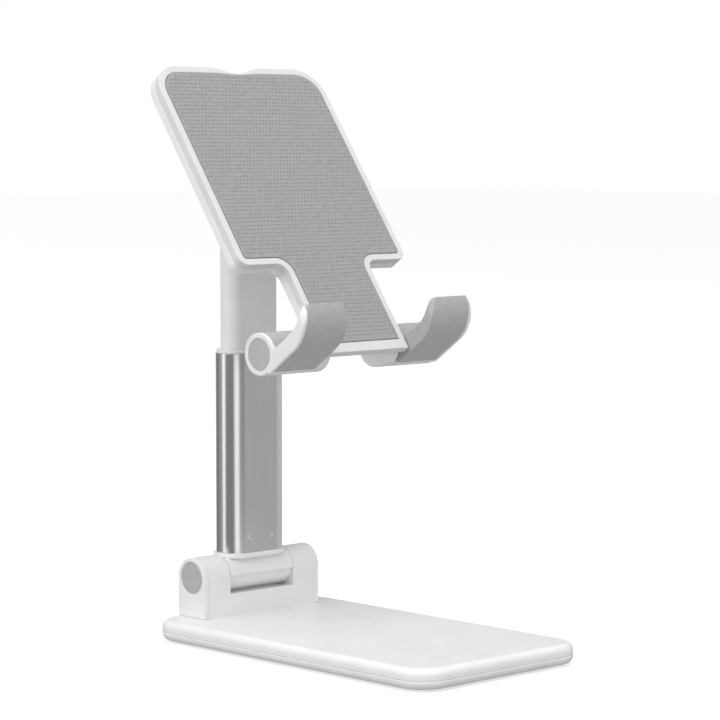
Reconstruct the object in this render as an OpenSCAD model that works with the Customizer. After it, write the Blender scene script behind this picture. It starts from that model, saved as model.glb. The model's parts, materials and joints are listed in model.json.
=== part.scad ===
// Folding phone stand: a weighted base, a column that folds on it, a post that
// slides in the column, a holder plate that tilts on the post and two hooks
// that fold on the plate.
// Origin: on the table, under the middle of the base. +X points to the right of
// a person facing the stand, -Y towards that person and +Z up.

/* [Base] */
// Width of the base
base_w = 62; // [58:1:80]
// Length of the base, front to back
base_l = 108; // [104:1:130]
// Height of the base's top above the table
base_t = 6.2; // [6:0.1:8]
// Plan radius of the base's corners
base_corner_r = 8.5; // [6:0.5:12]
// Height of the joint line between the shell and the bottom cover
base_seam_z = 3; // [2.8:0.1:3.4]

/* [Base hinge] */
// Height of the base hinge's axis
hinge_z = 17.4; // [16:0.1:20]
// Distance from the base's rear edge to the hinge axis
hinge_setback = 7.1; // [5.8:0.1:8]
// Width of the hinge housing over its end caps
housing_w = 43.5; // [38:1:50]
// Outer radius of the knuckles of both main hinges
knuckle_r = 5.7; // [5.5:0.1:6]
// Width of the slot in the housing that takes the column's foot
slot_w = 24; // [23:0.5:28]
// Radius of both main hinge pins
pin_r = 2; // [1.5:0.1:2.2]

/* [Column and post] */
// Width of the metal sleeve
sleeve_w = 21.2; // [20:0.1:21.8]
// Depth of the metal sleeve, front to back
sleeve_d = 10.4; // [9.8:0.1:10.6]
// Length of the metal sleeve
sleeve_l = 56.6; // [52:0.1:62]
// Corner radius of the metal sleeve, which makes its sides nearly half round
sleeve_corner_r = 4.7; // [3.6:0.1:4.8]
// Height of the tilt hinge's axis above the base hinge's axis
post_height = 115.6; // [112:0.1:119]
// Thickness of the wall of the metal sleeve
sleeve_wall = 1; // [0.8:0.1:1.2]

/* [Holder] */
// Width of the wide part of the holder plate
plate_w = 62; // [56:0.1:70]
// Length of the wide part of the holder plate
plate_l = 66; // [60:0.1:75]
// Width of the plate's neck
neck_w = 30.7; // [29:0.1:34]
// Length of the plate's neck above the hooks' axis
neck_l = 23.4; // [23.4:0.1:26]
// Length of the plate's neck below the hooks' axis
neck_drop = 5.4; // [4:0.1:5.6]
// Thickness of the holder plate without its lugs
plate_t = 4.7; // [4.4:0.1:4.8]
// Angle that the plate leans back from upright
plate_tilt = 35.3; // [20:0.1:50]
// Distance along the plate from the hooks' axis up to the tilt axis
tilt_up = 63.8; // [58:0.1:68]
// Distance from the plate's front face back to the tilt axis
tilt_back = 11.2; // [11:0.1:12.5]

/* [Hooks] */
// Distance from the plate's front face back to the hooks' axis
hook_back = 7.6; // [7.6:0.1:8.4]
// Width over both hooks
hooks_w = 63.2; // [62:0.1:72]
// Radius of the hooks' round roots
hook_root_r = 5.75; // [5.5:0.05:6]
// Thickness of the silicone cover on a hook
cover_t = 1; // [0.8:0.1:1.2]

/* [Hidden] */
$fn = 64;

// Clearance of a part that turns or slides in another
fit = 0.05;
slide_fit = 0.1;
// A cut reaches this far past the faces that it leaves open
past = 1;
// A lug, plug or rib is sunk this far into the part that it belongs to
sink = 1;
// Shapes that make one outline overlap by this much
lap = 0.5;
tiny = 0.01;
// Gap between parts that are fixed together
part_gap = 0.1;
pin_side_gap = 0.2;

// Base
base_edge_r = 2;
base_wall = 1.6;
base_skin = 1.2;
cover_floor_z = 0.6;
cover_skin = 1;
tray_z = cover_floor_z + cover_skin;
foot_pad_inset = 5;
foot_pad_t = 0.8;
foot_pad_corner_r = base_corner_r - 3;
boss_r = 2.8;
boss_x = 23;
boss_ys = [-42, 32];
weight_margin = 0.4;
weight_front = base_l / 2 - base_wall - weight_margin;
weight_rear = 36;
cavity_rear = weight_rear + 1;

// Screws
screw_r = 0.9;
screw_head_r = 1.8;
screw_head_t = 0.9;
screw_tip_gap = 0.2;

// Base hinge
hinge_y = base_l / 2 - hinge_setback;
end_cap_t = 2;
disc_r = 4.4;
disc_t = 0.9;
disc_inset = 0.1;
pin_head_r = 3.6;
pin_head_t = 1.8;
pin_head_gap = 0.4;
washer_r = 4.4;
washer_t = 0.5;
housing_half = housing_w / 2 - end_cap_t;
head_x = housing_half - pin_head_t - pin_head_gap;
side_gap = 0.1;
foot_half = slot_w / 2 - side_gap;
foot_gap = 0.2;
inner_knuckle_r = knuckle_r - 0.9;
heel_top_half = 8.6;
heel_z = -2.4;
heel_shoulder_z = 1.6;
seat_gap = 0.15;

// Column
collar_margin = 0.7;
foot_collar_z = 4.7;
foot_top = knuckle_r + 0.3;
sleeve_bottom_z = hinge_z + foot_top;
sleeve_top_z = sleeve_bottom_z + sleeve_l;
plug_h = 5.6;
rivet_r = 1;
rivet_x = 4.4;
rivet_z = sleeve_bottom_z + 4.2;
rivet_depth = 2.2;
rivet_inset = 0.3;
bore_w = sleeve_w - 2 * sleeve_wall;
bore_d = sleeve_d - 2 * sleeve_wall;
bore_corner_r = sleeve_corner_r - sleeve_wall;
collar_flange_t = 1.1;
collar_step = 0.3;
collar_skirt_t = 0.4;
collar_skirt_l = 3.7;
dimple_w = 6;
dimple_h = 1.5;
dimple_deep = 0.3;
dimple_drop = 4;

// Post
post_w = bore_w - 2 * collar_skirt_t - 2 * slide_fit;
post_d = bore_d - 2 * collar_skirt_t - 2 * slide_fit;
post_corner_r = bore_corner_r - collar_skirt_t - slide_fit;
post_wall = 1.3;
post_bore_r = post_corner_r - post_wall;
post_travel_down = 40;
post_travel_up = 2;
glide_end_gap = 0.2;
glide_room = sleeve_l - plug_h - collar_skirt_l;
glide_h = glide_room - post_travel_down - post_travel_up - 2 * glide_end_gap;
glide_floor = 1;
glide_bottom_z = sleeve_bottom_z + plug_h + post_travel_down + glide_end_gap;
tilt_z = hinge_z + post_height;
head_half = 9.2;
head_skirt = 0.8;
post_top_z = tilt_z - knuckle_r - head_skirt;
head_plug_l = 6;

// Holder plate, in its own frame: x across, y up the plate, z out of its front
top_corner_r = 9;
low_corner_r = 3;
least_corner_r = 1;
neck_fillet_r = 3;
rim_w = 2;
dip_half = 9.5;
dip_steps = 16;
dip_deep = 2;
pad_dip_deep = 0.5;
front_t = plate_t / 2;
pad_recess = 1.1;
pad_proud = 0.2;
pad_low = rim_w + 1 - neck_drop;
back_drop = neck_drop - 2;
plate_total = plate_l + neck_l;
holder_screw_x = 21;
holder_screw_l = 2;
holder_screw_tip = pad_recess + screw_head_t + holder_screw_l;
holder_screw_ys = [neck_l + 9, plate_total - 11];

// Tilt hinge
lug_in = head_half + side_gap;
lug_out = 16.9;
tilt_head_out = 15.3;
tilt_cap_in = 15.5;
head_pocket_r = pin_head_r + 0.2;
ridge_half = 17.5;
ridge_low = 4.6;
ridge_high = 6.6;
ridge_t = 2.2;

// Hooks
lug_hook_in = 10.6;
hook_gap = 0.35;
hook_in = neck_w / 2 + hook_gap;
hook_out = hooks_w / 2;
hook_cheek_t = 1.2;
hook_pin_r = 1.5;
hook_pin_in = lug_hook_in + 1;
hook_pin_out = hook_out - 2.4;
hook_pin_gap = 0.3;
hook_disc_r = 4.3;
hook_disc_t = 1.2;
arm_bend = 11.6;
arm_bottom = -6.4;
arm_outer_r = 11;
arm_floor = -2;
arm_inner_r = 11;
arm_inner_n = 12.8;
arm_reach = 22.6;
tip_top = 1.6;
tip_corner_r = 4;
cover_start_below = 1.2;
cover_start_above = 2;

// ---------- shapes that repeat ----------

// Rectangle w by l around the origin with corners of radius r
module rounded_rect(w, l, r) {
    square([w - 2 * r, l], center = true);
    square([w, l - 2 * r], center = true);
    for (sx = [-1, 1], sy = [-1, 1])
        translate([sx * (w / 2 - r), sy * (l / 2 - r)])
            circle(r);
}

// Half of a slab's section: half wide, t high, upper outer edge of radius e
module slab_section(half, t, e) {
    intersection() {
        square([half, t]);
        union() {
            square([half - e, t]);
            square([half, t - e]);
            translate([half - e, t - e])
                circle(e);
        }
    }
}

// Slab w by l by t on the XY plane, plan corners of radius r, top edge of radius e
module rounded_slab(w, l, r, t, e) {
    for (side = [0, 1]) {
        mirror([side, 0, 0])
            rotate([90, 0, 0])
                linear_extrude(l - 2 * r, center = true)
                    slab_section(w / 2, t, e);
        mirror([0, side, 0])
            rotate([90, 0, 90])
                linear_extrude(w - 2 * r, center = true)
                    slab_section(l / 2, t, e);
    }
    for (sx = [-1, 1], sy = [-1, 1])
        translate([sx * (w / 2 - r), sy * (l / 2 - r), 0])
            rotate_extrude()
                slab_section(r, t, e);
}

// Extrudes a shape drawn in Y and Z along X, from x0 to x1
module along_x(x0, x1) {
    translate([x0, 0, 0])
        rotate([90, 0, 90])
            linear_extrude(x1 - x0)
                children();
}

// Cylinder on the X axis from x0 to x1
module rod_x(r, x0, x1) {
    translate([x0, 0, 0])
        rotate([0, 90, 0])
            cylinder(r = r, h = x1 - x0);
}

// Places children on the base hinge's axis
module at_base_hinge() {
    translate([0, hinge_y, hinge_z])
        children();
}

// Places children on the tilt hinge's axis
module at_tilt_hinge() {
    translate([0, hinge_y, tilt_z])
        children();
}

// Places children drawn in the plate's own frame
module in_plate() {
    at_tilt_hinge()
        rotate([90 - plate_tilt, 0, 0])
            translate([0, -tilt_up, tilt_back])
                children();
}

// Places children on the hooks' axis, in the plate's own frame
module at_hook_axis() {
    in_plate()
        translate([0, 0, -hook_back])
            children();
}

// Hexagonal nut around the X axis
module nut_x(x0, x1) {
    difference() {
        translate([x0, 0, 0])
            rotate([0, 90, 0])
                cylinder(r = pin_head_r, h = x1 - x0, $fn = 6);
        rod_x(pin_r, x0 - past, x1 + past);
    }
}

// Bore for a main hinge's pin, with pockets for two washers that bear on walls at x
module hinge_bore(x) {
    rod_x(pin_r + fit, -x - past, x + past);
    for (side = [0, 1])
        mirror([side, 0, 0])
            rod_x(washer_r + part_gap, x - washer_t - fit, x + past);
}

// ---------- base ----------

// Arch of the hinge housing in Y and Z, around the hinge axis, down to z
module housing_arch(z) {
    circle(knuckle_r);
    translate([-knuckle_r, z - hinge_z])
        square([2 * knuckle_r, hinge_z - z]);
}

// Outline of the rear opening that the foot's heel closes, in X and Z
module heel_outline(gap) {
    polygon([
        [-heel_top_half + gap, heel_z + gap],
        [heel_top_half - gap, heel_z + gap],
        [slot_w / 2 - gap, heel_shoulder_z],
        [slot_w / 2 - gap, knuckle_r + past],
        [-slot_w / 2 + gap, knuckle_r + past],
        [-slot_w / 2 + gap, heel_shoulder_z]
    ]);
}

// Room that the column's foot needs in the housing
module foot_room() {
    front = knuckle_r + past;
    floor_z = -inner_knuckle_r - foot_gap;
    along_x(-slot_w / 2, slot_w / 2) {
        circle(inner_knuckle_r + foot_gap);
        translate([-front, floor_z])
            square([front, front - floor_z]);
        intersection() {
            circle(knuckle_r + foot_gap);
            translate([-front, -front])
                square(front);
        }
    }
    rotate([90, 0, 180])
        linear_extrude(front)
            heel_outline(0);
}

module base_shell() {
    cavity_w = base_w - 2 * base_wall;
    cavity_front = base_l / 2 - base_wall;
    color("white") {
        difference() {
            union() {
                translate([0, 0, base_seam_z])
                    rounded_slab(base_w, base_l, base_corner_r,
                        base_t - base_seam_z, base_edge_r);
                at_base_hinge()
                    along_x(-housing_half, housing_half)
                        housing_arch(base_seam_z);
            }
            translate([0, (cavity_rear - cavity_front) / 2, 0])
                linear_extrude(base_t - base_skin)
                    rounded_rect(cavity_w, cavity_front + cavity_rear,
                        base_corner_r - base_wall);
            at_base_hinge() {
                foot_room();
                rod_x(pin_r + fit, -housing_half - past, housing_half + past);
                for (side = [0, 1])
                    mirror([side, 0, 0])
                        rod_x(pin_head_r + pin_head_gap, head_x - pin_side_gap,
                            housing_half + past);
            }
        }
        for (sx = [-1, 1], y = boss_ys)
            translate([sx * boss_x, y, 0])
                difference() {
                    translate([0, 0, tray_z])
                        cylinder(r = boss_r, h = base_t - base_skin / 2 - tray_z);
                    cylinder(r = screw_r, h = base_t - base_skin);
                }
    }
}

module base_bottom_cover() {
    color("whitesmoke")
        difference() {
            translate([0, 0, base_seam_z])
                mirror([0, 0, 1])
                    rounded_slab(base_w, base_l, base_corner_r,
                        base_seam_z - cover_floor_z, base_edge_r);
            translate([0, 0, tray_z])
                linear_extrude(base_t)
                    rounded_rect(base_w - 2 * base_wall, base_l - 2 * base_wall,
                        base_corner_r - base_wall);
            translate([0, 0, -past])
                linear_extrude(past + foot_pad_t)
                    foot_pad_outline(0);
            for (sx = [-1, 1], y = boss_ys)
                translate([sx * boss_x, y, 0]) {
                    cylinder(r = screw_r + fit, h = base_t);
                    cylinder(r = screw_head_r + fit, h = foot_pad_t + screw_head_t / 2);
                }
        }
}

// Plan outline of the silicone foot, less a gap all round
module foot_pad_outline(gap) {
    rounded_rect(base_w - 2 * foot_pad_inset - 2 * gap,
        base_l - 2 * foot_pad_inset - 2 * gap, foot_pad_corner_r);
}

module base_foot_pad() {
    color("lightgray")
        linear_extrude(foot_pad_t)
            foot_pad_outline(part_gap);
}

module counterweight_plate() {
    plate_len = weight_front + weight_rear;
    bottom = tray_z + part_gap;
    color("dimgray")
        difference() {
            translate([0, weight_rear - plate_len / 2, bottom])
                linear_extrude(base_t - base_skin - part_gap - bottom)
                    rounded_rect(base_w - 2 * base_wall - 2 * weight_margin, plate_len,
                        base_corner_r - base_wall - weight_margin);
            for (sx = [-1, 1], y = boss_ys)
                translate([sx * boss_x, y, 0])
                    cylinder(r = boss_r + weight_margin, h = base_t);
        }
}

module base_cover_screws() {
    color("silver")
        for (sx = [-1, 1], y = boss_ys)
            translate([sx * boss_x, y, foot_pad_t]) {
                cylinder(r = screw_head_r, h = screw_head_t / 2);
                cylinder(r = screw_r, h = base_t - base_skin - foot_pad_t - screw_tip_gap);
            }
}

// End cap of the housing, on the +X side
module base_end_cap() {
    color("white")
        at_base_hinge()
            difference() {
                along_x(housing_half, housing_half + end_cap_t)
                    housing_arch(base_t);
                rod_x(disc_r + fit, housing_w / 2 - disc_t - disc_inset,
                    housing_w / 2 + past);
            }
}

// Disc that closes the end cap, on the +X side
module base_hinge_disc() {
    color("darkgray")
        at_base_hinge()
            rod_x(disc_r, housing_w / 2 - disc_t - disc_inset, housing_w / 2 - disc_inset);
}

module base_hinge_pin() {
    color("silver")
        at_base_hinge() {
            rod_x(pin_r, -head_x, housing_half - pin_side_gap);
            rod_x(pin_head_r, -head_x - pin_head_t, -head_x);
        }
}

module base_hinge_nut() {
    color("silver")
        at_base_hinge()
            nut_x(head_x, head_x + pin_head_t);
}

// Pair of flat washers with their inner faces at x
module washer_pair(x) {
    for (side = [0, 1])
        mirror([side, 0, 0])
            difference() {
                rod_x(washer_r, x, x + washer_t);
                rod_x(pin_r + fit, x - past, x + washer_t + past);
            }
}

module base_hinge_washers() {
    color("whitesmoke")
        at_base_hinge()
            washer_pair(slot_w / 2 - washer_t);
}

// ---------- column ----------

module column_foot() {
    color("white")
        difference() {
            union() {
                at_base_hinge() {
                    rod_x(inner_knuckle_r, -foot_half, foot_half);
                    along_x(-foot_half, foot_half)
                        intersection() {
                            circle(knuckle_r);
                            union() {
                                translate([-knuckle_r, 0])
                                    square([knuckle_r + lap, knuckle_r]);
                                translate([0, heel_shoulder_z])
                                    square(knuckle_r);
                            }
                        }
                    intersection() {
                        along_x(-foot_half, foot_half)
                            translate([0, heel_z - past])
                                square([knuckle_r, knuckle_r]);
                        rotate([90, 0, 180])
                            linear_extrude(knuckle_r)
                                heel_outline(seat_gap);
                    }
                    translate([0, 0, foot_collar_z])
                        linear_extrude(foot_top - foot_collar_z)
                            rounded_rect(sleeve_w + 2 * collar_margin,
                                sleeve_d + 2 * collar_margin,
                                sleeve_corner_r + collar_margin);
                }
                translate([0, hinge_y, hinge_z])
                    linear_extrude(foot_top + plug_h)
                        rounded_rect(bore_w - part_gap, bore_d - part_gap, bore_corner_r);
            }
            at_base_hinge()
                hinge_bore(slot_w / 2);
            sleeve_rivets();
        }
}

module column_sleeve() {
    color("silver")
        difference() {
            translate([0, hinge_y, sleeve_bottom_z])
                linear_extrude(sleeve_l)
                    difference() {
                        rounded_rect(sleeve_w, sleeve_d, sleeve_corner_r);
                        rounded_rect(bore_w, bore_d, bore_corner_r);
                    }
            at_rivets()
                translate([0, 0, -sleeve_d / 2 - past])
                    cylinder(r = rivet_r, h = sleeve_wall + 2 * past);
            translate([0, hinge_y + sleeve_d / 2, sleeve_top_z - dimple_drop])
                rotate([90, 0, 0])
                    linear_extrude(2 * dimple_deep, center = true)
                        rounded_rect(dimple_w, dimple_h, dimple_h / 2 - tiny);
        }
}

// Places of the four rivets, with z into the sleeve
module at_rivets() {
    for (sx = [-1, 1], back = [0, 1])
        translate([sx * rivet_x, hinge_y, rivet_z])
            mirror([0, back, 0])
                rotate([-90, 0, 0])
                    children();
}

module sleeve_rivets() {
    color("gray")
        at_rivets()
            translate([0, 0, rivet_inset - sleeve_d / 2])
                cylinder(r = rivet_r, h = rivet_depth);
}

module sleeve_collar() {
    color("white")
        translate([0, hinge_y, sleeve_top_z])
            difference() {
                union() {
                    linear_extrude(collar_flange_t)
                        rounded_rect(sleeve_w - 2 * collar_step, sleeve_d - 2 * collar_step,
                            sleeve_corner_r - collar_step);
                    translate([0, 0, -collar_skirt_l])
                        linear_extrude(collar_skirt_l + collar_flange_t / 2)
                            rounded_rect(bore_w, bore_d, bore_corner_r);
                }
                translate([0, 0, -collar_skirt_l - past])
                    linear_extrude(collar_skirt_l + collar_flange_t + 2 * past)
                        rounded_rect(bore_w - 2 * collar_skirt_t, bore_d - 2 * collar_skirt_t,
                            bore_corner_r - collar_skirt_t);
            }
}

// ---------- post ----------

module sliding_post() {
    bottom = glide_bottom_z + glide_floor;
    color("white")
        translate([0, hinge_y, bottom])
            linear_extrude(post_top_z - bottom)
                difference() {
                    rounded_rect(post_w, post_d, post_corner_r);
                    rounded_rect(post_w - 2 * post_wall, post_d - 2 * post_wall,
                        post_bore_r);
                }
}

module post_glide() {
    color("lightgray")
        translate([0, hinge_y, glide_bottom_z])
            difference() {
                linear_extrude(glide_h)
                    rounded_rect(bore_w - 2 * slide_fit, bore_d - 2 * slide_fit,
                        bore_corner_r);
                translate([0, 0, glide_floor])
                    linear_extrude(glide_h)
                        rounded_rect(post_w, post_d, post_corner_r);
            }
}

module post_head() {
    color("white")
        difference() {
            union() {
                at_tilt_hinge()
                    rod_x(knuckle_r, -head_half, head_half);
                translate([0, hinge_y, post_top_z])
                    linear_extrude(tilt_z - post_top_z)
                        rounded_rect(post_w, post_d, post_corner_r);
                translate([0, hinge_y, post_top_z - head_plug_l])
                    linear_extrude(head_plug_l + sink)
                        rounded_rect(post_w - 2 * post_wall - part_gap,
                            post_d - 2 * post_wall - part_gap, post_bore_r);
            }
            at_tilt_hinge()
                hinge_bore(lug_in);
        }
}

// ---------- holder ----------

// Hollow in the plate's top edge: a smooth dip that starts and ends level
module top_dip(top, deep) {
    polygon([
        [-dip_half, top + past],
        for (i = [-dip_steps : dip_steps])
            [i * dip_half / dip_steps, top - deep * (1 + cos(180 * i / dip_steps)) / 2],
        [dip_half, top + past]
    ]);
}

// Outline of the plate, moved in by inset, with its dip this deep
module plate_outline(inset, deep, low) {
    wide = plate_w - 2 * inset;
    half = neck_w / 2 - inset;
    bottom = neck_l + inset;
    top = plate_total - inset;
    fillet = neck_fillet_r + inset;
    low_r = max(low_corner_r - inset, least_corner_r);
    difference() {
        union() {
            translate([-wide / 2, bottom + low_r])
                square([wide, top - bottom - low_r - top_corner_r + inset]);
            translate([-wide / 2 + top_corner_r - inset, bottom])
                square([wide - 2 * (top_corner_r - inset), top - bottom]);
            for (sx = [-1, 1]) {
                translate([sx * (wide / 2 - top_corner_r + inset), top - top_corner_r + inset])
                    circle(top_corner_r - inset);
                translate([sx * (wide / 2 - low_r), bottom + low_r])
                    circle(low_r);
            }
            translate([-wide / 2 + low_r, bottom])
                square([wide - 2 * low_r, top_corner_r]);
            translate([-half, low])
                square([2 * half, top - low - top_corner_r]);
            for (side = [0, 1])
                mirror([side, 0])
                    difference() {
                        translate([half - lap, bottom - fillet])
                            square([fillet + lap, fillet + lap]);
                        translate([half + fillet, bottom - fillet])
                            circle(fillet);
                    }
        }
        top_dip(top, deep);
    }
}

module holder_frame() {
    color("white")
        in_plate()
            difference() {
                translate([0, 0, -front_t])
                    linear_extrude(front_t)
                        plate_outline(0, dip_deep, -neck_drop);
                translate([0, 0, -pad_recess])
                    linear_extrude(pad_recess + past)
                        plate_outline(rim_w, pad_dip_deep, pad_low);
                for (sx = [-1, 1], y = holder_screw_ys)
                    translate([sx * holder_screw_x, y, -front_t]) {
                        cylinder(r = screw_r + fit, h = 2 * front_t, center = true);
                        translate([0, 0, front_t - pad_recess - screw_head_t])
                            cylinder(r = screw_head_r + fit, h = front_t);
                    }
            }
}

module holder_pad() {
    color("gray")
        in_plate()
            translate([0, 0, -pad_recess])
                linear_extrude(pad_recess + pad_proud)
                    plate_outline(rim_w + part_gap, pad_dip_deep, pad_low + part_gap);
}

module holder_screws() {
    color("silver")
        in_plate()
            for (sx = [-1, 1], y = holder_screw_ys)
                translate([sx * holder_screw_x, y, -pad_recess - screw_head_t]) {
                    cylinder(r = screw_head_r, h = screw_head_t);
                    translate([0, 0, -holder_screw_l])
                        cylinder(r = screw_r, h = holder_screw_l + screw_head_t / 2);
                }
}

// Two lugs of the tilt hinge, drawn around its axis in the plate's frame
module tilt_lugs() {
    for (side = [0, 1])
        mirror([side, 0, 0]) {
            rod_x(knuckle_r, lug_in, lug_out);
            along_x(lug_in, lug_out)
                translate([-knuckle_r, 0])
                    square([2 * knuckle_r, tilt_back - plate_t + sink]);
        }
}

// Two lugs that hold the hooks' pins, drawn around the hooks' axis
module hook_lugs() {
    for (side = [0, 1])
        mirror([side, 0, 0]) {
            rod_x(hook_root_r, lug_hook_in, neck_w / 2);
            along_x(lug_hook_in, neck_w / 2)
                square([hook_root_r, hook_back - plate_t + sink]);
        }
}

module holder_back() {
    color("white")
        in_plate()
            difference() {
                union() {
                    translate([0, 0, -plate_t])
                        linear_extrude(plate_t - front_t)
                            plate_outline(0, dip_deep, -back_drop);
                    translate([0, tilt_up, -tilt_back])
                        tilt_lugs();
                    translate([-ridge_half, tilt_up + ridge_low, -plate_t - ridge_t])
                        cube([2 * ridge_half, ridge_high - ridge_low, ridge_t + sink]);
                    intersection() {
                        translate([0, 0, -hook_back])
                            hook_lugs();
                        translate([-neck_w, -neck_w, -front_t - neck_w])
                            cube([2 * neck_w, 2 * neck_w, neck_w]);
                    }
                }
                translate([0, tilt_up, -tilt_back]) {
                    rod_x(pin_r + fit, -slot_w, slot_w);
                    for (side = [0, 1])
                        mirror([side, 0, 0]) {
                            rod_x(head_pocket_r, tilt_head_out - pin_head_t - pin_side_gap,
                                tilt_cap_in + part_gap);
                            rod_x(disc_r, tilt_cap_in, lug_out + past);
                        }
                }
                translate([0, 0, -hook_back])
                    for (side = [0, 1])
                        mirror([side, 0, 0])
                            rod_x(hook_pin_r, hook_pin_in, neck_w / 2 + past);
                for (sx = [-1, 1], y = holder_screw_ys)
                    translate([sx * holder_screw_x, y, -holder_screw_tip - screw_tip_gap])
                        cylinder(r = screw_r, h = holder_screw_l + screw_tip_gap);
            }
}

module tilt_pin() {
    head_x = tilt_head_out - pin_head_t;
    color("silver")
        at_tilt_hinge() {
            rod_x(pin_r, -head_x, tilt_head_out);
            rod_x(pin_head_r, -tilt_head_out, -head_x);
        }
}

module tilt_nut() {
    color("silver")
        at_tilt_hinge()
            nut_x(tilt_head_out - pin_head_t, tilt_head_out);
}

module tilt_washers() {
    color("whitesmoke")
        at_tilt_hinge()
            washer_pair(lug_in - washer_t);
}

// Cap in the end of the tilt hinge's lug, on the +X side
module tilt_cap() {
    color("lightgray")
        at_tilt_hinge()
            rod_x(disc_r - fit, tilt_cap_in, lug_out - disc_inset);
}

module hook_pins() {
    color("silver")
        at_hook_axis()
            for (side = [0, 1])
                mirror([side, 0, 0])
                    rod_x(hook_pin_r, hook_pin_in, hook_pin_out);
}

// ---------- hooks, drawn around their axis: y up the plate, z out of its front ----------

// Side view of a hook's arm, moved in by inset all round
module arm_outline(inset) {
    outer_c = arm_bottom + arm_outer_r;
    inner_c = arm_floor + arm_inner_r;
    difference() {
        intersection() {
            translate([arm_bottom + inset, 0])
                square([tip_top - arm_bottom - 2 * inset, arm_reach]);
            union() {
                translate([arm_bottom, 0])
                    square([outer_c - arm_bottom, arm_bend]);
                translate([outer_c, arm_bend])
                    circle(arm_outer_r - inset);
            }
        }
        translate([arm_floor - inset, -past])
            square([arm_inner_r, arm_inner_n + past]);
        translate([inner_c, arm_inner_n])
            circle(arm_inner_r + inset);
    }
}

// Plan view of a hook's arm on the +X side, with the tip's corners rounded
module arm_plan(x0, x1, inset) {
    reach = arm_reach - inset;
    r = tip_corner_r - inset;
    translate([x0, -hook_root_r - past])
        square([x1 - x0, reach - r + hook_root_r + past]);
    translate([x0 + r, reach - tip_corner_r])
        square([x1 - x0 - 2 * r, tip_corner_r]);
    for (x = [x0 + r, x1 - r])
        translate([x, reach - r])
            circle(r);
}

// Arm of a hook between x0 and x1, moved in by inset
module hook_arm(x0, x1, inset, plan0, plan1) {
    intersection() {
        along_x(x0, x1)
            arm_outline(inset);
        translate([0, arm_bottom - past, 0])
            rotate([-90, 0, 0])
                mirror([0, 1, 0])
                    linear_extrude(tip_top - arm_bottom + 2 * past)
                        arm_plan(plan0, plan1, inset);
    }
}

module hook() {
    color("white")
        at_hook_axis()
            difference() {
                union() {
                    rod_x(hook_root_r, hook_in, hook_out);
                    hook_arm(hook_in, hook_out, 0, hook_in, hook_out);
                }
                rod_x(hook_pin_r + fit, hook_in - past, hook_pin_out + hook_pin_gap);
                rod_x(hook_disc_r + fit, hook_out - hook_disc_t, hook_out + past);
                hook_cover_skin();
            }
}

// Skin of silicone round a hook's arm and the front of its root, up to the outer cheek
module hook_cover_skin() {
    cheek = hook_out - hook_cheek_t;
    low = arm_bottom - past;
    difference() {
        union() {
            hook_arm(hook_in - tiny, cheek, 0, hook_in, hook_out);
            rod_x(hook_root_r, hook_in - tiny, cheek);
        }
        hook_arm(hook_in - past, hook_out, cover_t, hook_in + cover_t, hook_out);
        rod_x(hook_root_r - cover_t, hook_in - past, hook_out);
        along_x(hook_in - past, hook_out) {
            translate([low, low])
                square([-low, cover_start_below - low]);
            translate([-tiny, low])
                square([-low, cover_start_above - low]);
        }
    }
}

module hook_cover() {
    color("darkgray")
        at_hook_axis()
            hook_cover_skin();
}

module hook_disc() {
    color("darkgray")
        at_hook_axis()
            rod_x(hook_disc_r, hook_out - hook_disc_t, hook_out - disc_inset);
}

// Mirrors a +X side part to the -X side
module on_left() {
    mirror([1, 0, 0])
        children();
}

base_shell();
base_bottom_cover();
counterweight_plate();
base_foot_pad();
base_cover_screws();
on_left() base_end_cap();  // base_end_cap_left
base_end_cap();  // base_end_cap_right
on_left() base_hinge_disc();  // base_hinge_disc_left
base_hinge_disc();  // base_hinge_disc_right
base_hinge_pin();
base_hinge_nut();
base_hinge_washers();
column_foot();
column_sleeve();
sleeve_collar();
sleeve_rivets();
sliding_post();
post_glide();
post_head();
holder_frame();
holder_back();
holder_pad();
holder_screws();
tilt_pin();
tilt_nut();
tilt_washers();
on_left() tilt_cap();  // tilt_cap_left
tilt_cap();  // tilt_cap_right
hook_pins();
on_left() hook();  // hook_left
on_left() hook_cover();  // hook_cover_left
on_left() hook_disc();  // hook_disc_left
hook();  // hook_right
hook_cover();  // hook_cover_right
hook_disc();  // hook_disc_right
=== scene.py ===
"""The phone stand's looks: each CAD node's shape with rounded edges, raised dots on the
silicone pads and procedural materials, on a pale studio floor."""

import json
import math

import bmesh
import bpy
import numpy as np
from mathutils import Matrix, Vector
from mathutils.bvhtree import BVHTree
from mathutils.kdtree import KDTree

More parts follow.
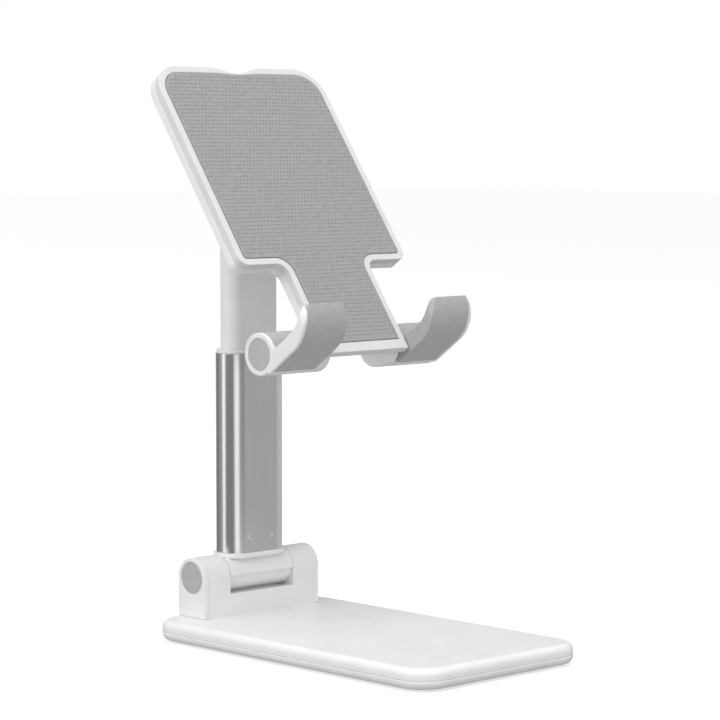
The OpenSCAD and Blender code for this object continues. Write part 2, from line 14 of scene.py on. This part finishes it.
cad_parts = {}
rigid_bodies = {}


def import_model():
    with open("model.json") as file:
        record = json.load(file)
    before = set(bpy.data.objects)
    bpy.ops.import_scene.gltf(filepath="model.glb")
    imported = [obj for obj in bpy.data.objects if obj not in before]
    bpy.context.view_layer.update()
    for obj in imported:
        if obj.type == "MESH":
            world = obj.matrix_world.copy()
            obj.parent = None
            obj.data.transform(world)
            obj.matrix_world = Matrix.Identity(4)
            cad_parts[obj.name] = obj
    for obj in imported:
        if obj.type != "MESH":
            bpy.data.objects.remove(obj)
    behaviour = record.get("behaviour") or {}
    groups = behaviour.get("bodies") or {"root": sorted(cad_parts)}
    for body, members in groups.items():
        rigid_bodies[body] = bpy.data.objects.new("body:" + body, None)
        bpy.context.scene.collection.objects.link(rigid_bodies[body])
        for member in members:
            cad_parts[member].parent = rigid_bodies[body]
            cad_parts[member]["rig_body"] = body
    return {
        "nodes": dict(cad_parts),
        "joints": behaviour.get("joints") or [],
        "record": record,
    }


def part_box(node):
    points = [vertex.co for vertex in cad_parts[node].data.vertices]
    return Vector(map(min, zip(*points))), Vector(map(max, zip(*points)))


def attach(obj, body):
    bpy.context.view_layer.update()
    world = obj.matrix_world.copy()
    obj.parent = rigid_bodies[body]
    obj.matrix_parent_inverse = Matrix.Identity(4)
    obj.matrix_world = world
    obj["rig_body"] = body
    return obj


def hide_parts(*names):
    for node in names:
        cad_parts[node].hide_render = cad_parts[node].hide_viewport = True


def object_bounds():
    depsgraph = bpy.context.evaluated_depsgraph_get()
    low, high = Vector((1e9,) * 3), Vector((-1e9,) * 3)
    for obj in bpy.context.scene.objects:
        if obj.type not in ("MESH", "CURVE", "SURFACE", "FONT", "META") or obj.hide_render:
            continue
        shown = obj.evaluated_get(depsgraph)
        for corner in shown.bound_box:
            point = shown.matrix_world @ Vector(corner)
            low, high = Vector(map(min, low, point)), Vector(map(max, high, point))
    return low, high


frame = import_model()
CAD_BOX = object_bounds()
MM = 0.001

# ---------- places, worked out from the frame ----------

NODES = frame["nodes"]
SLOTS = {s["node"]: s["material_slot"] for s in frame["record"]["subparts"]}
JOINTS = {j["name"]: j for j in frame["joints"]}
MOUNTS = {m["name"]: m for m in frame["record"]["mounts"]}


def joint_place(name):
    """A joint's point, in metres."""
    return Vector(JOINTS[name]["pos_m"])


# The holder plate's own directions: out of its front, and up along it
PLATE_OUT = Vector(MOUNTS["phone_rest"]["axis"]).normalized()
PLATE_UP = Vector((0, PLATE_OUT.z, -PLATE_OUT.y))
ACROSS = Vector((1, 0, 0))
TILT_AXIS = joint_place("plate_tilt")
HOOK_AXIS = joint_place("hook_left_fold")
BASE_AXIS = joint_place("base_fold")
# Where the base's top meets the front of its hinge housing, which the end caps cover
HOUSING_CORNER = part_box("base_end_cap_left")[0]
BACK_FACING = -0.999
LEVEL_DIGITS = 5


def out_of_plate(point):
    """How far a point lies in front of the tilt axis, square to the plate."""
    return (point - TILT_AXIS).dot(PLATE_OUT)


def plate_back_level():
    """Level of the holder's back face, the widest flat of its rear shell, from the tilt axis."""
    areas = {}
    for face in NODES["holder_back"].data.polygons:
        if face.normal.dot(PLATE_OUT) < BACK_FACING:
            level = round(out_of_plate(face.center), LEVEL_DIGITS)
            areas[level] = areas.get(level, 0) + face.area
    return max(areas, key=areas.get)


# ---------- mesh work ----------

WELD = 0.002 * MM
SAME_PLACE = WELD * 10
FLAT_ANGLE = math.radians(0.3)
SHARP_ANGLE = math.radians(30)
SHADE_ANGLE = math.radians(38)
FLAT_FACE_WEIGHT = 80
EDGE_WEIGHT = "bevel_weight_edge"
EDGE_STEPS = 3
FILLET_STEPS = 5
PLATE_BACK = plate_back_level()


def under_housing(point):
    return (
        abs(point.z - HOUSING_CORNER.z) < SAME_PLACE
        and abs(point.y - HOUSING_CORNER.y) < SAME_PLACE
    )


def on_plate_back(point):
    return abs(out_of_plate(point) - PLATE_BACK) < SAME_PLACE


# Nodes with softer inner corners: their radius, and a test for the points they run through
FILLETS = {
    "base_shell": (0.9 * MM, under_housing),
    "holder_back": (0.8 * MM, on_plate_back),
}

# A rounding that is too wide for its place folds faces over or throws out spikes. Those places
# are found and their edges rounded by less, until none is left or TRIES rounds have run.
FOLD_ANGLE = math.radians(150)
SPIKE_SHARE = 0.62
TURNED_OVER = -0.2
FOLD_REACH = 2.0
TRIES = 16
LESS = 0.5
LEAST_WEIGHT = 0.2
EDGE_SAMPLE = 0.25 * MM


def is_corner(edge):
    return edge.is_manifold and edge.calc_face_angle(0) > SHARP_ANGLE


def bevelled(bm, weights, radius, steps):
    """A copy of a bmesh with each edge rounded by its weight's share of the radius."""
    layer = bm.edges.layers.float.get(EDGE_WEIGHT) or bm.edges.layers.float.new(EDGE_WEIGHT)
    bm.edges.ensure_lookup_table()
    for edge in bm.edges:
        edge[layer] = weights.get(edge.index, 0.0)
    mesh = bpy.data.meshes.new("rough")
    bm.to_mesh(mesh)
    rough = bpy.data.objects.new("rough", mesh)
    bpy.context.scene.collection.objects.link(rough)
    bevel = rough.modifiers.new("bevel", "BEVEL")
    bevel.limit_method = "WEIGHT"
    bevel.offset_type = "OFFSET"
    bevel.width = radius
    bevel.segments = steps
    bevel.use_clamp_overlap = False
    bpy.context.view_layer.update()
    ready = rough.evaluated_get(bpy.context.evaluated_depsgraph_get())
    made = bmesh.new()
    made.from_mesh(ready.data)
    bpy.data.objects.remove(rough)
    bpy.data.meshes.remove(mesh)
    return made


def bad_places(made, tree, radius):
    """Points where a rounded shape folds over, leaves the shape it was made from, which the
    tree holds, or turns a face inside out."""
    folds = [
        (e.verts[0].co + e.verts[1].co) / 2
        for e in made.edges
        if e.is_manifold and e.calc_face_angle(0) > FOLD_ANGLE
    ]
    spikes = [
        v.co.copy() for v in made.verts if tree.find_nearest(v.co)[3] > SPIKE_SHARE * radius
    ]
    turned = []
    for face in made.faces:
        centre = face.calc_center_median()
        if face.normal.dot(tree.find_nearest(centre)[1]) < TURNED_OVER:
            turned.append(centre)
    return folds + spikes + turned


def points_along(edges):
    """Points all along these edges, each with its edge's index, and a tree to find them by."""
    points = []
    for edge in edges:
        a, b = (v.co for v in edge.verts)
        count = max(1, int((b - a).length / EDGE_SAMPLE))
        points += [(a.lerp(b, (i + 0.5) / count), edge.index) for i in range(count)]
    near = KDTree(len(points))
    for i, (place, _) in enumerate(points):
        near.insert(place, i)
    near.balance()
    return points, near


def round_edges(bm, edges, radius, steps):
    """The shape with these edges rounded, by less where there is no room for the radius."""
    bm.edges.index_update()
    weights = {e.index: 1.0 for e in edges}
    tree = BVHTree.FromBMesh(bm)
    points, near = points_along(edges)
    for _ in range(TRIES):
        made = bevelled(bm, weights, radius, steps)
        places = bad_places(made, tree, radius)
        if not places:
            break
        too_wide = set()
        for place in places:
            found = near.find_range(place, FOLD_REACH * radius)
            too_wide |= {points[i][1] for _, i, _ in found}
            if not found:
                too_wide.add(points[near.find(place)[1]][1])
        for index in too_wide:
            weights[index] *= LESS
            if weights[index] < LEAST_WEIGHT:
                weights[index] = 0.0
    return made


def cad_shape(node):
    """A bmesh of a CAD node's shape with its flat faces whole again."""
    bm = bmesh.new()
    bm.from_mesh(NODES[node].data)
    bmesh.ops.remove_doubles(bm, verts=bm.verts, dist=WELD)
    bmesh.ops.dissolve_limit(bm, angle_limit=FLAT_ANGLE, verts=bm.verts, edges=bm.edges)
    return bm


def smooth(piece):
    """Smooth shading that keeps the flats flat and the few remaining corners sharp."""
    mesh = piece.data
    mesh.shade_smooth()
    mesh.set_sharp_from_angle(angle=SHADE_ANGLE)
    weighted = piece.modifiers.new("flat_faces", "WEIGHTED_NORMAL")
    weighted.keep_sharp = True
    weighted.weight = FLAT_FACE_WEIGHT


def moulded(node, name, finish, edge):
    """A piece with a CAD node's shape, on its body, with its outer edges rounded by edge.
    The inner corners that FILLETS gives are filled by their larger radius first."""
    bm = cad_shape(node)
    if node in FILLETS:
        radius, is_inside = FILLETS[node]
        inner = [
            e
            for e in bm.edges
            if is_corner(e) and not e.is_convex and all(is_inside(v.co) for v in e.verts)
        ]
        bm = round_edges(bm, inner, radius, FILLET_STEPS)
    made = round_edges(bm, [e for e in bm.edges if is_corner(e)], edge, EDGE_STEPS)
    mesh = bpy.data.meshes.new(name)
    made.to_mesh(mesh)
    made.free()
    bm.free()
    mesh.materials.clear()
    mesh.materials.append(finish)
    piece = bpy.data.objects.new(name, mesh)
    bpy.context.scene.collection.objects.link(piece)
    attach(piece, NODES[node]["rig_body"])
    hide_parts(node)
    smooth(piece)
    return piece


# ---------- the raised dots of the silicone pads ----------

DOT_PITCH = 1.25 * MM
DOT_R = 0.38 * MM
DOT_HEIGHT = 0.2 * MM
DOT_SINK = 0.06 * MM
DOT_SIDES = 8
DOT_MARGIN = 0.75 * MM
DOT_STEP = 0.12 * MM
PROBE = 60 * MM
# Height, and share of the radius, of each ring of a dot's dome
DOT_RINGS = ((-DOT_SINK, 1.0), (0.3 * DOT_HEIGHT, 0.94), (0.8 * DOT_HEIGHT, 0.66))

# Dotted nodes: the directions along a row, from row to row and out of the surface, the most
# that the surface may turn from out, and the part of the node's length that has dots
FLAT_PAD = (ACROSS, PLATE_UP, PLATE_OUT, math.radians(3), 1.0)
CURVED_PAD = (ACROSS, PLATE_OUT, PLATE_UP, math.radians(55), 0.66)
DOTTED = {
    "holder_pad": FLAT_PAD,
    "hook_cover_left": CURVED_PAD,
    "hook_cover_right": CURVED_PAD,
}


def dot_places(node, along_a, along_b, out, steep, share):
    """Grid points on the side of a node that looks along out, away from its edges, each with
    the surface's direction there."""
    bm = bmesh.new()
    bm.from_mesh(NODES[node].data)
    tree = BVHTree.FromBMesh(bm)
    spots = np.array([v.co for v in bm.verts], float)
    bm.free()
    a = spots @ np.array(along_a)
    b = spots @ np.array(along_b)
    top = (spots @ np.array(out)).max()

    def hit(pa, pb):
        start = along_a * pa + along_b * pb + out * (top + PROBE)
        place, normal, _, _ = tree.ray_cast(start, -out)
        if place is None or normal.dot(out) < math.cos(steep):
            return None, None
        return place, normal

    places = []
    middle = (a.min() + a.max()) / 2
    columns = int((a.max() - a.min()) / DOT_PITCH / 2) + 1
    rows = int((b.max() - b.min()) * share / DOT_PITCH) + 1
    for row in range(rows):
        pb = b.min() + DOT_MARGIN + row * DOT_PITCH
        for column in range(-columns, columns + 1):
            pa = middle + (column + 0.5 * (row % 2)) * DOT_PITCH
            centre, normal = hit(pa, pb)
            if centre is None:
                continue
            around = [
                hit(pa + da * DOT_MARGIN, pb + db * DOT_MARGIN)[0]
                for da, db in ((1, 0), (-1, 0), (0, 1), (0, -1))
            ]
            if all(p is not None and abs((p - centre).dot(normal)) < DOT_STEP for p in around):
                places.append((centre, normal))
    return places


def add_dots(mesh, places):
    """Joins a small closed dome at each place to a mesh."""
    bm = bmesh.new()
    bm.from_mesh(mesh)
    turns = [2 * math.pi * i / DOT_SIDES for i in range(DOT_SIDES)]
    for place, out in places:
        side = out.cross(ACROSS).normalized()
        across = side.cross(out)
        loops = [
            [
                bm.verts.new(
                    place
                    + out * height
                    + (across * math.cos(t) + side * math.sin(t)) * DOT_R * share
                )
                for t in turns
            ]
            for height, share in DOT_RINGS
        ]
        peak = bm.verts.new(place + out * DOT_HEIGHT)
        faces = [bm.faces.new(loops[0][::-1])]
        for low, high in zip(loops, loops[1:]):
            for i in range(DOT_SIDES):
                k = (i + 1) % DOT_SIDES
                faces.append(bm.faces.new((low[i], low[k], high[k], high[i])))
        for i in range(DOT_SIDES):
            faces.append(bm.faces.new((loops[-1][i], loops[-1][(i + 1) % DOT_SIDES], peak)))
        for face in faces:
            face.smooth = True
    bm.normal_update()
    bm.to_mesh(mesh)
    bm.free()


# ---------- materials ----------

# Most of a noise's values lie between these
NOISE_LOW, NOISE_HIGH = 0.3, 0.7
# A ring wave texture at scale 1 repeats this often in one unit
WAVES_PER_UNIT = 20 / (2 * math.pi)
RING_WOBBLE = 0.6


def add_node(tree, kind, **settings):
    """A new node in a node tree, with these attributes."""
    made = tree.nodes.new(kind)
    for key, value in settings.items():
        setattr(made, key, value)
    return made


def feed(tree, socket, value):
    """Links another node's output to a socket, or sets the socket to a plain value."""
    if isinstance(value, bpy.types.NodeSocket):
        tree.links.new(value, socket)
    else:
        socket.default_value = value


class Finish:
    """A Principled material and the procedural nodes that feed it."""

    def __init__(self, name, roughness, metallic=0.0, centre=(0, 0, 0), stretch=(1, 1, 1)):
        self.material = bpy.data.materials.new(name)
        self.material.use_nodes = True
        self.tree = self.material.node_tree
        self.tree.nodes.clear()
        self.shader = self.node("ShaderNodeBsdfPrincipled")
        out = self.node("ShaderNodeOutputMaterial")
        self.tree.links.new(self.shader.outputs[0], out.inputs["Surface"])
        self.set("Roughness", roughness)
        self.set("Metallic", metallic)
        spot = self.node("ShaderNodeTexCoord").outputs["Object"]
        shift = self.node("ShaderNodeVectorMath", operation="SUBTRACT")
        self.tree.links.new(spot, shift.inputs[0])
        shift.inputs[1].default_value = centre
        scaled = self.node("ShaderNodeVectorMath", operation="MULTIPLY")
        self.tree.links.new(shift.outputs[0], scaled.inputs[0])
        scaled.inputs[1].default_value = stretch
        self.spot = scaled.outputs[0]

    def node(self, kind, **settings):
        return add_node(self.tree, kind, **settings)

    def set(self, name, value):
        """Gives one of the shader's inputs a plain value or another node's output."""
        feed(self.tree, self.shader.inputs[name], value)

    def noise(self, grain, detail=3.0):
        """Noise whose grain is this long, in metres."""
        made = self.node("ShaderNodeTexNoise")
        self.tree.links.new(self.spot, made.inputs["Vector"])
        made.inputs["Scale"].default_value = 1 / grain
        made.inputs["Detail"].default_value = detail
        return made.outputs["Fac"]

    def rings(self, pitch):
        """Rings round the X axis through the material's centre."""
        made = self.node("ShaderNodeTexWave", wave_type="RINGS", rings_direction="X")
        self.tree.links.new(self.spot, made.inputs["Vector"])
        made.inputs["Scale"].default_value = 1 / pitch / WAVES_PER_UNIT
        made.inputs["Distortion"].default_value = RING_WOBBLE
        return made.outputs["Fac"]

    def facing(self, axis, low, high):
        """0 where the surface turns from this axis, and 1 where it looks along it."""
        split = self.node("ShaderNodeSeparateXYZ")
        coordinates = self.node("ShaderNodeTexCoord")
        self.tree.links.new(coordinates.outputs["Normal"], split.inputs[0])
        size = self.node("ShaderNodeMath", operation="ABSOLUTE")
        self.tree.links.new(split.outputs[axis], size.inputs[0])
        return self.between(size.outputs[0], 0.0, 1.0, low, high)

    def between(self, value, low, high, start=NOISE_LOW, end=NOISE_HIGH):
        """Maps a value from the range start to end to the range low to high."""
        made = self.node("ShaderNodeMapRange")
        self.tree.links.new(value, made.inputs["Value"])
        made.inputs["From Min"].default_value = start
        made.inputs["From Max"].default_value = end
        made.inputs["To Min"].default_value = low
        made.inputs["To Max"].default_value = high
        return made.outputs["Result"]

    def mix(self, share, a, b):
        """A colour between a and b, which are colours or other mixes."""
        made = self.node("ShaderNodeMix", data_type="RGBA")
        self.tree.links.new(share, made.inputs["Factor"])
        for place, colour in (("A", a), ("B", b)):
            socket = [i for i in made.inputs if i.name == place and i.type == "RGBA"][0]
            feed(self.tree, socket, (*colour, 1) if isinstance(colour, tuple) else colour)
        return [o for o in made.outputs if o.type == "RGBA"][0]

    def colour(self, noise, dark, light):
        """Colour that runs from dark to light with a noise."""
        self.set("Base Color", self.mix(self.between(noise, 0.0, 1.0), dark, light))

    def roughness(self, noise, low, high):
        """Roughness that follows a noise."""
        self.set("Roughness", self.between(noise, low, high))

    def bump(self, value, depth):
        """Height of the surface: depth is in metres. A second call adds to the first."""
        made = self.node("ShaderNodeBump")
        made.inputs["Strength"].default_value = 1.0
        made.inputs["Distance"].default_value = depth
        self.tree.links.new(value, made.inputs["Height"])
        into = self.shader.inputs["Normal"]
        if into.is_linked:
            self.tree.links.new(into.links[0].from_socket, made.inputs["Normal"])
        self.tree.links.new(made.outputs["Normal"], into)


def grey(level):
    return (level, level, level)


def white_plastic(name, dark, light):
    """Satin plastic with a very fine grain over a slight unevenness."""
    finish = Finish(name, roughness=0.34)
    finish.colour(finish.noise(9 * MM), (dark, dark, dark + 0.005), grey(light))
    finish.roughness(finish.noise(3 * MM, 5), 0.3, 0.42)
    finish.bump(finish.noise(0.22 * MM, 2), 0.006 * MM)
    finish.bump(finish.noise(6 * MM, 1), 0.03 * MM)
    return finish.material


def silicone(name, dark, light):
    """Matt rubber with a soft sheen."""
    finish = Finish(name, roughness=0.75)
    finish.colour(finish.noise(1.1 * MM, 4), grey(dark), grey(light))
    finish.roughness(finish.noise(2 * MM), 0.62, 0.85)
    finish.bump(finish.noise(0.16 * MM, 3), 0.02 * MM)
    finish.set("Sheen Weight", 0.15)
    finish.set("Sheen Roughness", 0.5)
    return finish.material


def brushed_aluminium():
    """Long fine scratches up the flat front and rear, and smoother rounded sides. The sides are
    coloured brighter and the flats darker, partly for the two finishes and partly as painted
    reflection and painted shade for the bands the sleeve mirrors.
    """
    finish = Finish("brushed_aluminium", 0.26, 1.0, stretch=(1, 1, 0.015))
    flat = finish.facing("Y", 0.9, 0.99)
    scratches = finish.noise(0.16 * MM, 5)
    # Painted reflection and painted shade: lighter colour on the rounded sides, darker on the
    # flat front and rear, partly real finish and partly standing in for mirrored light
    polished_sides_with_painted_sheen = finish.mix(scratches, (0.78, 0.78, 0.79), (0.86, 0.86, 0.865))
    brushed_flats_with_painted_shade = finish.mix(scratches, (0.58, 0.58, 0.585), (0.70, 0.70, 0.705))
    finish.set("Base Color", finish.mix(flat, polished_sides_with_painted_sheen, brushed_flats_with_painted_shade))
    finish.set("Roughness", finish.between(flat, 0.23, 0.42, 0.0, 1.0))
    finish.bump(scratches, 0.004 * MM)
    return finish.material


def turned_metal(name, centre):
    """Fine rings left by a lathe, on a dull face."""
    finish = Finish(name, 0.5, 0.55, centre=centre)
    rings = finish.rings(0.36 * MM)
    grain = finish.noise(0.5 * MM, 4)
    crests = finish.between(rings, 0.0, 0.45, 0.0, 1.0)
    face = finish.mix(grain, (0.46, 0.46, 0.465), (0.66, 0.66, 0.665))
    finish.set("Base Color", finish.mix(crests, face, (0.82, 0.82, 0.825)))
    finish.roughness(grain, 0.42, 0.6)
    finish.bump(rings, 0.008 * MM)
    return finish.material


def plain_metal(name, dark, light, roughness):
    finish = Finish(name, roughness, 1.0)
    finish.colour(finish.noise(1.5 * MM, 4), dark, light)
    finish.roughness(finish.noise(0.6 * MM), roughness - 0.06, roughness + 0.08)
    finish.bump(finish.noise(0.15 * MM), 0.006 * MM)
    return finish.material


def nylon():
    finish = Finish("grey_nylon", 0.5)
    finish.colour(finish.noise(2 * MM), grey(0.55), grey(0.62))
    finish.roughness(finish.noise(1 * MM), 0.42, 0.58)
    finish.bump(finish.noise(0.3 * MM), 0.01 * MM)
    return finish.material


WHITE = white_plastic("white_plastic", 0.80, 0.84)
# The holder's front frame is the same white plastic coloured darker: painted shade, for the grey
# its rim shows under the light
RIM_WHITE_PAINTED_SHADE = white_plastic("white_plastic_rim_painted_shade", 0.68, 0.71)
PAD_SILICONE = silicone("grey_silicone", 0.30, 0.35)
HOOK_SILICONE = silicone("grey_silicone_hooks", 0.40, 0.46)
FOOT_SILICONE = silicone("foot_silicone", 0.24, 0.30)
ALUMINIUM = brushed_aluminium()
BASE_DISC = turned_metal("turned_metal_base", BASE_AXIS)
HOOK_DISC = turned_metal("turned_metal_hooks", HOOK_AXIS)
RIVET = plain_metal("rivet_metal", (0.74, 0.74, 0.75), (0.86, 0.86, 0.87), 0.3)
ZINC = plain_metal("zinc_steel", (0.42, 0.43, 0.45), (0.58, 0.59, 0.60), 0.34)
NYLON = nylon()

# ---------- pieces ----------

# Each visible CAD node, its piece's name, its finish and the radius of its edges in mm
PIECES = (
    ("base_shell", "base_upper_shell", WHITE, 0.22),
    ("base_bottom_cover", "base_lower_shell", WHITE, 0.22),
    ("base_foot_pad", "base_silicone_foot", FOOT_SILICONE, 0.3),
    ("base_end_cap_left", "housing_end_cap_left", WHITE, 0.3),
    ("base_hinge_disc_left", "housing_disc_left", BASE_DISC, 0.15),
    ("base_end_cap_right", "housing_end_cap_right", WHITE, 0.3),
    ("base_hinge_disc_right", "housing_disc_right", BASE_DISC, 0.15),
    ("column_foot", "column_foot_shell", WHITE, 0.14),
    ("column_sleeve", "brushed_sleeve", ALUMINIUM, 0.06),
    ("sleeve_collar", "sleeve_top_collar", WHITE, 0.12),
    ("sleeve_rivets", "sleeve_rivet_heads", RIVET, 0.3),
    ("sliding_post", "post_tube", WHITE, 0.2),
    ("post_head", "post_tee_head", WHITE, 0.3),
    ("holder_frame", "holder_front_frame", RIM_WHITE_PAINTED_SHADE, 0.2),
    ("holder_back", "holder_back_shell", WHITE, 0.3),
    ("holder_pad", "holder_grip_pad", PAD_SILICONE, 0.12),
    ("tilt_cap_left", "tilt_hinge_cap_left", WHITE, 0.3),
    ("tilt_cap_right", "tilt_hinge_cap_right", WHITE, 0.3),
    ("hook_left", "hook_arm_left", WHITE, 0.3),
    ("hook_cover_left", "hook_grip_left", HOOK_SILICONE, 0.2),
    ("hook_disc_left", "hook_end_disc_left", HOOK_DISC, 0.15),
    ("hook_right", "hook_arm_right", WHITE, 0.3),
    ("hook_cover_right", "hook_grip_right", HOOK_SILICONE, 0.2),
    ("hook_disc_right", "hook_end_disc_right", HOOK_DISC, 0.15),
)
# The looks of the parts inside, by their material slot
HIDDEN_FINISHES = {"zinc_steel": ZINC, "grey_nylon": NYLON}


def build_pieces():
    for node, name, finish, edge in PIECES:
        piece = moulded(node, name, finish, edge * MM)
        if node in DOTTED:
            add_dots(piece.data, dot_places(node, *DOTTED[node]))


def finish_hidden_parts():
    """Materials for the parts inside, which keep their CAD shape."""
    for name, slot in SLOTS.items():
        node = NODES[name]
        if not node.hide_render:
            node.data.materials.clear()
            node.data.materials.append(HIDDEN_FINISHES[slot])


# ---------- stage, light and camera ----------

# Angles are in degrees: azimuth 0 is in front of the stand
CAMERA_AZIMUTH, CAMERA_ELEVATION = -43.9, 4.9
CAMERA_DISTANCE = 0.734
CAMERA_AIM = Vector((0, 0, 0.075))
CAMERA_LENS = 135
CAMERA_NEAR = 0.01

FLOOR_SIZE = 6.0
FLOOR_CELLS = 8
FLOOR_GRAIN = 0.2
FLOOR_GLOW = 0.4
FLOOR_BOUNCE = 0.5

# Soft boxes that mirror-like surfaces see: azimuth, elevation, half width, strength
SOFT_BOXES = (
    (-120, 0, 9, 1.0),
    (-24, 0, 12, 0.85),
    (57, 0, 10, 0.95),
    (95, 0, 10, 0.4),
    (155, 0, 12, 0.85),
    (0, 80, 35, 0.6),
)
BETWEEN_BOXES = 0.2
# The sky that lights the rest is brighter on the left and, by less, in front
SKY, SKY_LEFT, SKY_FRONT = 0.7, 0.26, 0.1

# Area lights: name, azimuth, elevation, size in metres, power in watts
LIGHTS = (
    ("top_light", -10, 68, 0.8, 6.6),
    ("side_light", -100, 30, 0.9, 4.0),
    ("front_light", 0, 20, 0.8, 1.0),
)
LIGHT_DISTANCE = 1.2


def direction(azimuth, elevation):
    """Unit vector from the object towards a place."""
    azimuth, elevation = math.radians(azimuth), math.radians(elevation)
    return Vector(
        (
            math.sin(azimuth) * math.cos(elevation),
            -math.cos(azimuth) * math.cos(elevation),
            math.sin(elevation),
        )
    )


def build_floor():
    """A pale floor. It throws back less light on the object than it shows to the camera,
    and mirror-like surfaces see the studio's soft boxes through it."""
    bm = bmesh.new()
    bmesh.ops.create_grid(
        bm, x_segments=FLOOR_CELLS, y_segments=FLOOR_CELLS, size=FLOOR_SIZE
    )
    mesh = bpy.data.meshes.new("floor")
    bm.to_mesh(mesh)
    bm.free()
    floor = bpy.data.objects.new("floor", mesh)
    bpy.context.scene.collection.objects.link(floor)
    finish = Finish("pale_floor", 0.6)
    finish.colour(finish.noise(FLOOR_GRAIN), grey(0.84), grey(0.86))
    finish.set("Specular IOR Level", 0.1)
    finish.set("Emission Color", (1, 1, 1, 1))
    finish.set("Emission Strength", FLOOR_GLOW)
    bounce = finish.node("ShaderNodeEmission")
    bounce.inputs["Strength"].default_value = FLOOR_BOUNCE
    rays = finish.node("ShaderNodeLightPath")

    def shader_for(kind_of_ray, others, these):
        made = finish.node("ShaderNodeMixShader")
        for socket, source in zip(made.inputs, (rays.outputs[kind_of_ray], others, these)):
            feed(finish.tree, socket, source)
        return made.outputs[0]

    clear = finish.node("ShaderNodeBsdfTransparent").outputs[0]
    seen = shader_for("Is Glossy Ray", bounce.outputs[0], clear)
    seen = shader_for("Is Camera Ray", seen, finish.shader.outputs[0])
    feed(finish.tree, finish.tree.nodes["Material Output"].inputs["Surface"], seen)
    mesh.materials.append(finish.material)


def build_world():
    """White behind the object. Mirror-like rays see soft boxes, and other rays a plain sky."""
    world = bpy.data.worlds.new("studio")
    bpy.context.scene.world = world
    world.use_nodes = True
    tree = world.node_tree
    tree.nodes.clear()
    way = add_node(tree, "ShaderNodeTexCoord").outputs["Generated"]
    rays = add_node(tree, "ShaderNodeLightPath")

    def maths(operation, a, b):
        made = add_node(tree, "ShaderNodeMath", operation=operation)
        feed(tree, made.inputs[0], a)
        feed(tree, made.inputs[1], b)
        return made.outputs[0]

    def towards(vector):
        made = add_node(tree, "ShaderNodeVectorMath", operation="DOT_PRODUCT")
        feed(tree, made.inputs[0], way)
        made.inputs[1].default_value = vector
        return made.outputs["Value"]

    def soft_box(azimuth, elevation, half_width, strength):
        """Full inside its half width, and gone at twice that."""
        made = add_node(tree, "ShaderNodeMapRange", interpolation_type="SMOOTHSTEP")
        feed(tree, made.inputs[0], towards(direction(azimuth, elevation)))
        made.inputs["From Min"].default_value = math.cos(math.radians(2 * half_width))
        made.inputs["From Max"].default_value = math.cos(math.radians(half_width))
        made.inputs["To Min"].default_value = 0.0
        made.inputs["To Max"].default_value = strength
        return made.outputs[0]

    def level_for(kind_of_ray, others, these):
        made = add_node(tree, "ShaderNodeMix", data_type="FLOAT")
        feed(tree, made.inputs["Factor"], rays.outputs[kind_of_ray])
        feed(tree, made.inputs["A"], others)
        feed(tree, made.inputs["B"], these)
        return made.outputs["Result"]

    mirror = BETWEEN_BOXES
    for box in SOFT_BOXES:
        mirror = maths("ADD", soft_box(*box), mirror)
    sky = maths("ADD", maths("MULTIPLY", towards((-1, 0, 0)), SKY_LEFT), SKY)
    sky = maths("ADD", maths("MULTIPLY", towards((0, -1, 0)), SKY_FRONT), sky)
    light = level_for("Is Glossy Ray", sky, mirror)
    light = level_for("Is Camera Ray", light, 1.0)
    background = add_node(tree, "ShaderNodeBackground")
    background.inputs["Color"].default_value = (1, 1, 1, 1)
    feed(tree, background.inputs["Strength"], light)
    out = add_node(tree, "ShaderNodeOutputWorld")
    feed(tree, out.inputs["Surface"], background.outputs[0])


def add_aimed(name, data, place, way):
    """A light or camera at a place, with its back to the direction way."""
    made = bpy.data.objects.new(name, data)
    bpy.context.scene.collection.objects.link(made)
    made.location = place
    made.rotation_mode = "QUATERNION"
    made.rotation_quaternion = way.to_track_quat("Z", "Y")
    return made


def build_light(name, azimuth, elevation, size, power):
    data = bpy.data.lights.new(name, "AREA")
    data.size = size
    data.energy = power
    way = direction(azimuth, elevation)
    add_aimed(name, data, CAMERA_AIM + way * LIGHT_DISTANCE, way)


def build_camera():
    """The photo's view of the stand, with the middle of the CAD's box in the middle."""
    data = bpy.data.cameras.new("camera")
    data.lens = CAMERA_LENS
    data.clip_start = CAMERA_NEAR
    place = CAMERA_AIM + direction(CAMERA_AZIMUTH, CAMERA_ELEVATION) * CAMERA_DISTANCE
    middle = (CAD_BOX[0] + CAD_BOX[1]) / 2
    way = (place - middle).normalized()
    bpy.context.scene.camera = add_aimed("camera", data, place, way)


build_pieces()
finish_hidden_parts()
build_floor()
build_world()
for light in LIGHTS:
    build_light(*light)
build_camera()
bpy.context.scene.view_settings.view_transform = "Standard"
